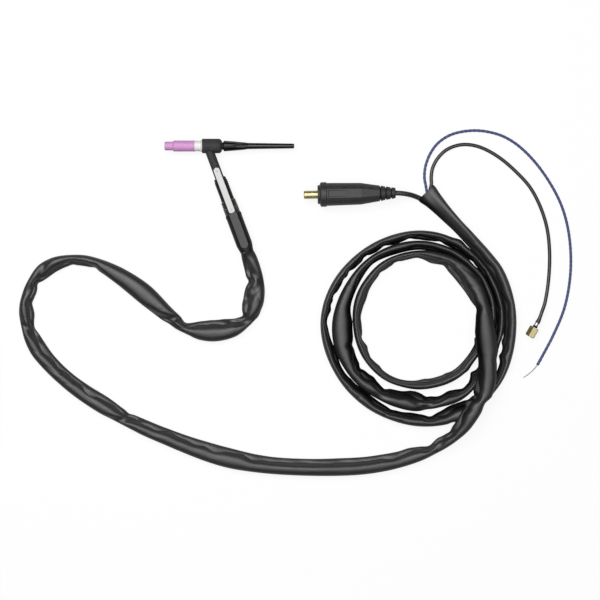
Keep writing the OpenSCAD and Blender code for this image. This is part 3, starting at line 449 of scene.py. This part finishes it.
def round_lead(name, route, radius, sides, step, swell=0.0, lobes=2, pitch=0.01, thin_end=1.0, flare=0.0):
    """A ring point is the centre plus radius times (right cos a + up sin a); the radius swells by
    swell times cos of lobes times (a less the turns made at that distance). It thins evenly to
    thin_end, and flare adds a bell curve of 6 mm reach at the far end."""
    centre, at = smooth_curve(np.array(route) / 1000.0, step)
    _, side, up = directions(centre)
    around = np.linspace(0, 2 * np.pi, sides, endpoint=False)[None, :]
    bell = np.exp(-(((at[-1] - at) / FLARE_REACH) ** 2))
    taper = (1 + (thin_end - 1) * at / at[-1] + flare * bell)[:, None]
    r = radius * taper * (1 + swell * np.cos(lobes * (around - 2 * np.pi * at[:, None] / pitch)))
    spoke = side[:, None, :] * np.cos(around)[..., None] + up[:, None, :] * np.sin(around)[..., None]
    piece = tube_mesh(name, centre[:, None, :] + r[..., None] * spoke)
    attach(piece, "torch")
    return piece, centre, float(at[-1])


power, power_path, power_length = round_lead("power_cable", POWER_ROUTE, 0.0040, 24, 0.0015)
hose, hose_path, hose_length = round_lead("gas_line", HOSE_ROUTE, 0.0029, 20, 0.0018, flare=0.35)
wire, wire_path, wire_length = round_lead("control_lead", WIRE_ROUTE, 0.0022, 20, 0.0011,
                                          swell=0.07, pitch=0.014)
strand, _, _ = round_lead("bare_strand", STRAND_ROUTE, 0.0008, 18, 0.0005,
                          swell=0.2, lobes=5, pitch=0.012, thin_end=0.8)
print("lengths:", [round(x, 3) for x in (power_length, hose_length, wire_length)])

for piece, node, slot_name in ((power, "power_tail", "cable_black"), (hose, "gas_hose", "cable_black"),
                               (wire, "control_wire", "wire_blue"), (strand, "wire_strand", "copper")):
    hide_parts(node)

# %% [markdown]
# ## The spring under the lever
# A small coil spring lifts the lever. It is shown when the lever is seen from the side, and it
# has to get shorter when the lever goes down. It is drawn here as a swept wire.

# %% Spring wire
spring_low, spring_high = (np.array(v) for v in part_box("lever_spring"))
SPRING_TURNS = 4
SPRING_WIRE = 0.0006
RINGS_A_TURN = 24
WIRE_SIDES = 10
turn = np.linspace(0, 2 * np.pi * SPRING_TURNS, RINGS_A_TURN * SPRING_TURNS + 1)
spring_axis = (spring_low + spring_high)[:2] / 2
coil_r = (spring_high - spring_low)[:2].min() / 2 - SPRING_WIRE / 2
rise = np.linspace(spring_low[2] + SPRING_WIRE / 2, spring_high[2] - SPRING_WIRE / 2, len(turn))
spring_centre = np.column_stack([
    spring_axis[0] + coil_r * np.cos(turn), spring_axis[1] + coil_r * np.sin(turn), rise])
_, spring_side, spring_up = directions(spring_centre)
ring = np.linspace(0, 2 * np.pi, WIRE_SIDES, endpoint=False)[None, :, None]
spring = tube_mesh("lever_coil_spring", spring_centre[:, None, :] + SPRING_WIRE / 2 * (
    spring_side[:, None, :] * np.cos(ring) + spring_up[:, None, :] * np.sin(ring)))
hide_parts("lever_spring")
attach(spring, "torch")
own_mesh(spring)
print("spring:", len(spring.data.polygons), "faces")

# %% [markdown]
# ## Finishes
# Every finish is a Principled shader fed by noise read in Object coordinates, which are the
# real metres of the piece. A coarse noise shifts the colour a little and the roughness with it,
# and a fine one drives a bump at the grain's real size. The numbers that stay the same all over
# are typed straight into the shader. The sleeve's cloth also has two values of its own at every
# point that paint light and shade on it: how much paler its colour is painted, and how much shine it keeps.

# %% A finish from noise
# the noise is mostly between these two values
NOISE_LOW, NOISE_HIGH = 0.3, 0.7
BUMP_HEIGHT = 0.0004


def grained(name, dark, light, rough, grain, bump, metal=0.0, patch=60.0, spread=0.12, shine=0.5):
    """Colour runs from dark to light with a coarse noise, roughness swings by spread about
    rough with the same noise, and a fine noise of grain cycles a metre tilts the surface."""
    material = bpy.data.materials.new(name)
    material.use_nodes = True
    nodes, links = material.node_tree.nodes, material.node_tree.links
    shader = nodes["Principled BSDF"]
    shader.inputs["Metallic"].default_value = metal
    shader.inputs["Specular IOR Level"].default_value = shine
    place = nodes.new("ShaderNodeTexCoord")
    coarse = nodes.new("ShaderNodeTexNoise")
    coarse.inputs["Scale"].default_value = patch
    coarse.inputs["Detail"].default_value = 5.0
    ramp = nodes.new("ShaderNodeValToRGB")
    for stop, position, colour in zip(ramp.color_ramp.elements, (NOISE_LOW, NOISE_HIGH), (dark, light)):
        stop.position = position
        stop.color = (*colour, 1)
    swing = nodes.new("ShaderNodeMapRange")
    swing.inputs["From Min"].default_value = NOISE_LOW
    swing.inputs["From Max"].default_value = NOISE_HIGH
    swing.inputs["To Min"].default_value = rough - spread / 2
    swing.inputs["To Max"].default_value = rough + spread / 2
    fine = nodes.new("ShaderNodeTexNoise")
    fine.inputs["Scale"].default_value = grain
    fine.inputs["Detail"].default_value = 3.0
    relief = nodes.new("ShaderNodeBump")
    relief.inputs["Strength"].default_value = bump
    relief.inputs["Distance"].default_value = BUMP_HEIGHT
    for source in (coarse, fine):
        links.new(place.outputs["Object"], source.inputs["Vector"])
    links.new(coarse.outputs["Fac"], ramp.inputs["Fac"])
    links.new(ramp.outputs["Color"], shader.inputs["Base Color"])
    links.new(coarse.outputs["Fac"], swing.inputs["Value"])
    links.new(swing.outputs["Result"], shader.inputs["Roughness"])
    links.new(fine.outputs["Fac"], relief.inputs["Height"])
    links.new(relief.outputs["Normal"], shader.inputs["Normal"])
    return material


print("grained finishes can be made")

# %% The finishes
# dark and light colour, roughness, grain, bump, and what departs from the usual
FINISHES = {
    "sleeve_cloth": ((0.0015, 0.0015, 0.0017), (0.0045, 0.0045, 0.0049), 0.46, 1400, 0.03,
        dict(patch=25, spread=0.08, shine=1.0)),
    "pink_alumina": ((0.70, 0.32, 0.66), (0.77, 0.37, 0.73), 0.5, 900, 0.12, dict(patch=150)),
    "ptfe_white": ((0.93, 0.93, 0.92), (0.96, 0.96, 0.955), 0.45, 700, 0.08, dict(patch=120)),
    "copper": ((0.52, 0.33, 0.19), (0.68, 0.46, 0.28), 0.34, 500, 0.1, dict(metal=1.0, patch=110)),
    "tinned_strand": ((0.36, 0.33, 0.28), (0.46, 0.43, 0.37), 0.4, 2500, 0.1, dict(metal=0.4, patch=500)),
    "brass": ((0.655, 0.558, 0.292), (0.755, 0.663, 0.376), 0.4, 600, 0.02, dict(metal=1.0, patch=300)),
    "head_rubber": ((0.036, 0.037, 0.039), (0.056, 0.057, 0.059), 0.6, 1200, 0.3,
        dict(patch=140, shine=0.2)),
    "cap_gloss": ((0.003, 0.003, 0.0033), (0.006, 0.006, 0.0064), 0.2, 300, 0.01,
        dict(patch=90, spread=0.04, shine=0.55)),
    "seal_rubber": ((0.010, 0.010, 0.010), (0.020, 0.020, 0.020), 0.5, 900, 0.1, dict()),
    "black_oxide": ((0.008, 0.008, 0.008), (0.016, 0.016, 0.016), 0.45, 700, 0.05,
        dict(patch=140, shine=0.3)),
    "collar_moulding": ((0.020, 0.020, 0.021), (0.040, 0.040, 0.041), 0.3, 1100, 0.15,
        dict(patch=120, shine=0.9)),
    "handle_moulding": ((0.010, 0.010, 0.011), (0.022, 0.022, 0.023), 0.4, 1100, 0.2,
        dict(patch=120, shine=0.25)),
    "thumb_grey": ((0.082, 0.082, 0.085), (0.11, 0.11, 0.113), 0.62, 1500, 0.3, dict(patch=160, shine=0.3)),
    "lever_steel": ((0.72, 0.715, 0.70), (0.80, 0.795, 0.78), 0.5, 800, 0.05, dict(patch=100)),
    "rivet_steel": ((0.60, 0.595, 0.585), (0.68, 0.675, 0.665), 0.5, 800, 0.05, dict(patch=200)),
    "steel": ((0.45, 0.45, 0.46), (0.62, 0.62, 0.63), 0.33, 700, 0.08, dict(metal=1.0, patch=140)),
    "switch_red": ((0.40, 0.03, 0.025), (0.5, 0.05, 0.04), 0.35, 800, 0.08, dict()),
    "switch_black": ((0.012, 0.012, 0.012), (0.022, 0.022, 0.022), 0.5, 1000, 0.1, dict()),
    "blue_sheath": ((0.046, 0.062, 0.205), (0.064, 0.082, 0.255), 0.42, 900, 0.04, dict(patch=700)),
    "hose_rubber": ((0.005, 0.005, 0.005), (0.012, 0.012, 0.012), 0.32, 1300, 0.08,
        dict(patch=240, shine=0.8)),
    "cable_rubber": ((0.016, 0.016, 0.016), (0.030, 0.030, 0.030), 0.42, 1300, 0.08,
        dict(patch=240, shine=0.9)),
    "plug_rubber": ((0.030, 0.030, 0.032), (0.046, 0.046, 0.049), 0.45, 1200, 0.28, dict(patch=120)),
}
finishes = {name: grained(name, *usual, **own) for name, (*usual, own) in FINISHES.items()}
print("finishes:", len(finishes))

# %% Painted light and shade on the cloth
# one step of painted tone adds this much colour
PAINTED_TONE_COLOUR = (0.009, 0.009, 0.0096)
COIL_PAINTED_LIGHT, EDGE_PAINTED_LIGHT = 1.1, 2.6
SHADE_DULLING, LIT_EDGE_SHINE, INSIDE_SHINE = 0.95, 0.6, 0.2
# painted light and shade: the cloth is painted paler from the handle to the coil, and paler again
# on the tail, less so at the mouth, and darker on the coil, where the turns shade one another
painted_tone_along = 1.2 + 0.4 * rising(0.60, 0.15) - 1.6 * wound
painted_tone_along = painted_tone_along + 1.9 * rising(sleeve_length - 0.42, 0.2) - 1.4 * rising(sleeve_length - 0.07, 0.05)
# painted shade: on the coil, the slack cloth of the inner side loses its shine, standing in for
# the shade between the turns
shaded_slack = soft_step(np.clip(1.35 - 2.5 * (lateral + left_w) / whole, 0, 1))
# painted light: the slack of the innermost turn hangs clear of the other turns, so its edge is
# painted pale and keeps some shine instead
turn_start, turn_end = place_of(405, -177), place_of(405, -233)
innermost = rising(turn_start, 0.03) * (1 - rising(turn_end - 0.06, 0.06))
painted_lit_edge = innermost * shaded_slack**3
# painted light on the outer half of each coil turn and on the innermost turn's edge, painted shade on the
# inner halves
painted_tone = painted_tone_along + wound * (COIL_PAINTED_LIGHT * (1 - shaded_slack) + EDGE_PAINTED_LIGHT * painted_lit_edge)
shine = 1 - SHADE_DULLING * wound * shaded_slack * (1 - LIT_EDGE_SHINE * painted_lit_edge)
inside = np.zeros((len(inward) + len(deep), TOP_SIDES + UNDER_SIDES))
painted_tone_of = np.vstack([painted_tone, inside])[:, ::-1]
painted_shade_shine_of = np.vstack([shine, inside + INSIDE_SHINE])[:, ::-1]
cloth = finishes["sleeve_cloth"].node_tree
values = {}
for name, of_points in (("painted_tone", painted_tone_of), ("shine", painted_shade_shine_of)):
    layer = sleeve.data.attributes.new(name, "FLOAT", "POINT")
    layer.data.foreach_set("value", of_points.ravel())
    values[name] = cloth.nodes.new("ShaderNodeAttribute")
    values[name].attribute_name = name
paler = cloth.nodes.new("ShaderNodeVectorMath")
paler.operation = "MULTIPLY_ADD"
paler.inputs[1].default_value = PAINTED_TONE_COLOUR
cloth.links.new(values["painted_tone"].outputs["Fac"], paler.inputs[0])
cloth.links.new(cloth.nodes["Color Ramp"].outputs["Color"], paler.inputs[2])
cloth.links.new(paler.outputs["Vector"], cloth.nodes["Principled BSDF"].inputs["Base Color"])
cloth.links.new(values["shine"].outputs["Fac"], cloth.nodes["Principled BSDF"].inputs["Specular IOR Level"])
print("innermost turn:", np.round([turn_start, turn_end], 2).tolist(), "m, points:", painted_tone_of.size)

# %% Finish of every piece
NODE_FINISH = {
    "ceramic_cup": "pink_alumina", "cup_gasket": "ptfe_white", "collet_body": "copper",
    "collet": "copper", "torch_core": "brass", "head_cover": "head_rubber", "neck_tube": "copper",
    "back_cap": "cap_gloss", "cap_o_ring": "seal_rubber", "handle_grip": "handle_moulding",
    "lever_collar": "collar_moulding", "rear_boot": "handle_moulding", "thumb_pad": "thumb_grey",
    "trigger_lever": "lever_steel", "lever_rivets": "rivet_steel", "lever_pin": "black_oxide",
    "lever_spring": "steel", "switch_body": "switch_black", "switch_plunger": "switch_red",
    "switch_wires": "blue_sheath", "power_block": "brass", "cable_crimp": "copper",
    "cable_inner": "cable_rubber", "gas_barb": "brass", "hose_inner": "hose_rubber",
    "control_inner": "blue_sheath", "plug_body": "plug_rubber", "plug_pin": "brass",
    "plug_clamp_screws": "steel", "plug_conductor": "copper", "plug_cable_end": "cable_rubber",
    # the brass gas nipple is drawn dark here, as the dark band between the ferrule and the nut
    "gas_ferrule": "steel", "gas_nipple": "black_oxide", "gas_nut": "brass",
    "sleeve_lead": "sleeve_cloth", "sleeve_coil": "sleeve_cloth", "sleeve_tail": "sleeve_cloth",
    "power_tail": "cable_rubber", "gas_hose": "hose_rubber", "control_wire": "blue_sheath",
    "wire_strand": "tinned_strand",
}


def wear(piece, finish):
    """The piece shows this finish and no other."""
    piece.data.materials.clear()
    piece.data.materials.append(finishes[finish])


for node_name, finish in NODE_FINISH.items():
    wear(solids[node_name], finish)
drawn = [(sleeve, "sleeve_cloth"), (power, "cable_rubber"), (hose, "hose_rubber"), (wire, "blue_sheath"),
         (strand, "tinned_strand"), (spring, "steel")]
for piece, finish in drawn:
    wear(piece, finish)
print("dressed:", len(NODE_FINISH) + len(drawn))

# %% [markdown]
# ## Floor and light
# The photograph stands on plain white. The floor here is a dim matt grey that takes the
# shadows, plus a white glow that the camera sees in full and reflections see at half strength.
# One soft lamp from the upper left, a larger one overhead and a weak plain sky light the pieces.

# %% Floor
FLOOR_REACH = 60.0
FLOOR_Z = -0.0005
FLOOR_GREY = 0.15
GROUND_GLOW = 0.87
GLOSSY_SHARE = 0.5
corners = [(x * FLOOR_REACH, y * FLOOR_REACH, FLOOR_Z) for x, y in ((-1, -1), (1, -1), (1, 1), (-1, 1))]
floor_mesh = bpy.data.meshes.new("floor")
floor_mesh.from_pydata(corners, [], [(0, 1, 2, 3)])
floor = bpy.data.objects.new("floor", floor_mesh)
bpy.context.scene.collection.objects.link(floor)
paper = bpy.data.materials.new("white_ground")
paper.use_nodes = True
nodes, links = paper.node_tree.nodes, paper.node_tree.links
nodes.clear()


def maths(operation, first, second):
    """One Math node: a number is typed into its socket, and an output is linked to it."""
    node = nodes.new("ShaderNodeMath")
    node.operation = operation
    links.new(first, node.inputs[0])
    if isinstance(second, float):
        node.inputs[1].default_value = second
    else:
        links.new(second, node.inputs[1])
    return node.outputs[0]


matt = nodes.new("ShaderNodeBsdfDiffuse")
matt.inputs["Color"].default_value = (FLOOR_GREY, FLOOR_GREY, FLOOR_GREY, 1)
ray = nodes.new("ShaderNodeLightPath").outputs
mirrored = maths("MULTIPLY", ray["Is Glossy Ray"], GLOSSY_SHARE)
seen = maths("MAXIMUM", maths("MAXIMUM", ray["Is Camera Ray"], mirrored), ray["Is Transmission Ray"])
glow = nodes.new("ShaderNodeEmission")
glow.inputs["Color"].default_value = (1, 1, 1, 1)
links.new(maths("MULTIPLY", seen, GROUND_GLOW), glow.inputs["Strength"])
both = nodes.new("ShaderNodeAddShader")
links.new(matt.outputs[0], both.inputs[0])
links.new(glow.outputs[0], both.inputs[1])
links.new(both.outputs[0], nodes.new("ShaderNodeOutputMaterial").inputs["Surface"])
floor_mesh.materials.append(paper)
print("floor laid")

# %% Lights
SKY_STRENGTH = 0.05
# place, tilt in degrees, width and height, watts
LAMPS = [
    ("soft_box", (-0.55, 0.6, 1.7), (-22, -20), (1.5, 1.0), 15),
    ("over_box", (0.15, -0.1, 2.5), (0, 0), (3.4, 3.0), 51),
]
bpy.context.scene.view_settings.view_transform = "Standard"
world = bpy.data.worlds.new("studio")
world.use_nodes = True
sky = world.node_tree.nodes["Background"].inputs
sky["Color"].default_value = (1, 1, 1, 1)
sky["Strength"].default_value = SKY_STRENGTH
bpy.context.scene.world = world
for name, spot, tilt, size, watts in LAMPS:
    lamp_data = bpy.data.lights.new(name, "AREA")
    lamp_data.shape = "RECTANGLE"
    lamp_data.size, lamp_data.size_y = size
    lamp_data.energy = watts
    lamp = bpy.data.objects.new(name, lamp_data)
    lamp.location = spot
    lamp.rotation_euler = (*np.radians(tilt), 0)
    bpy.context.scene.collection.objects.link(lamp)
print("lights on")
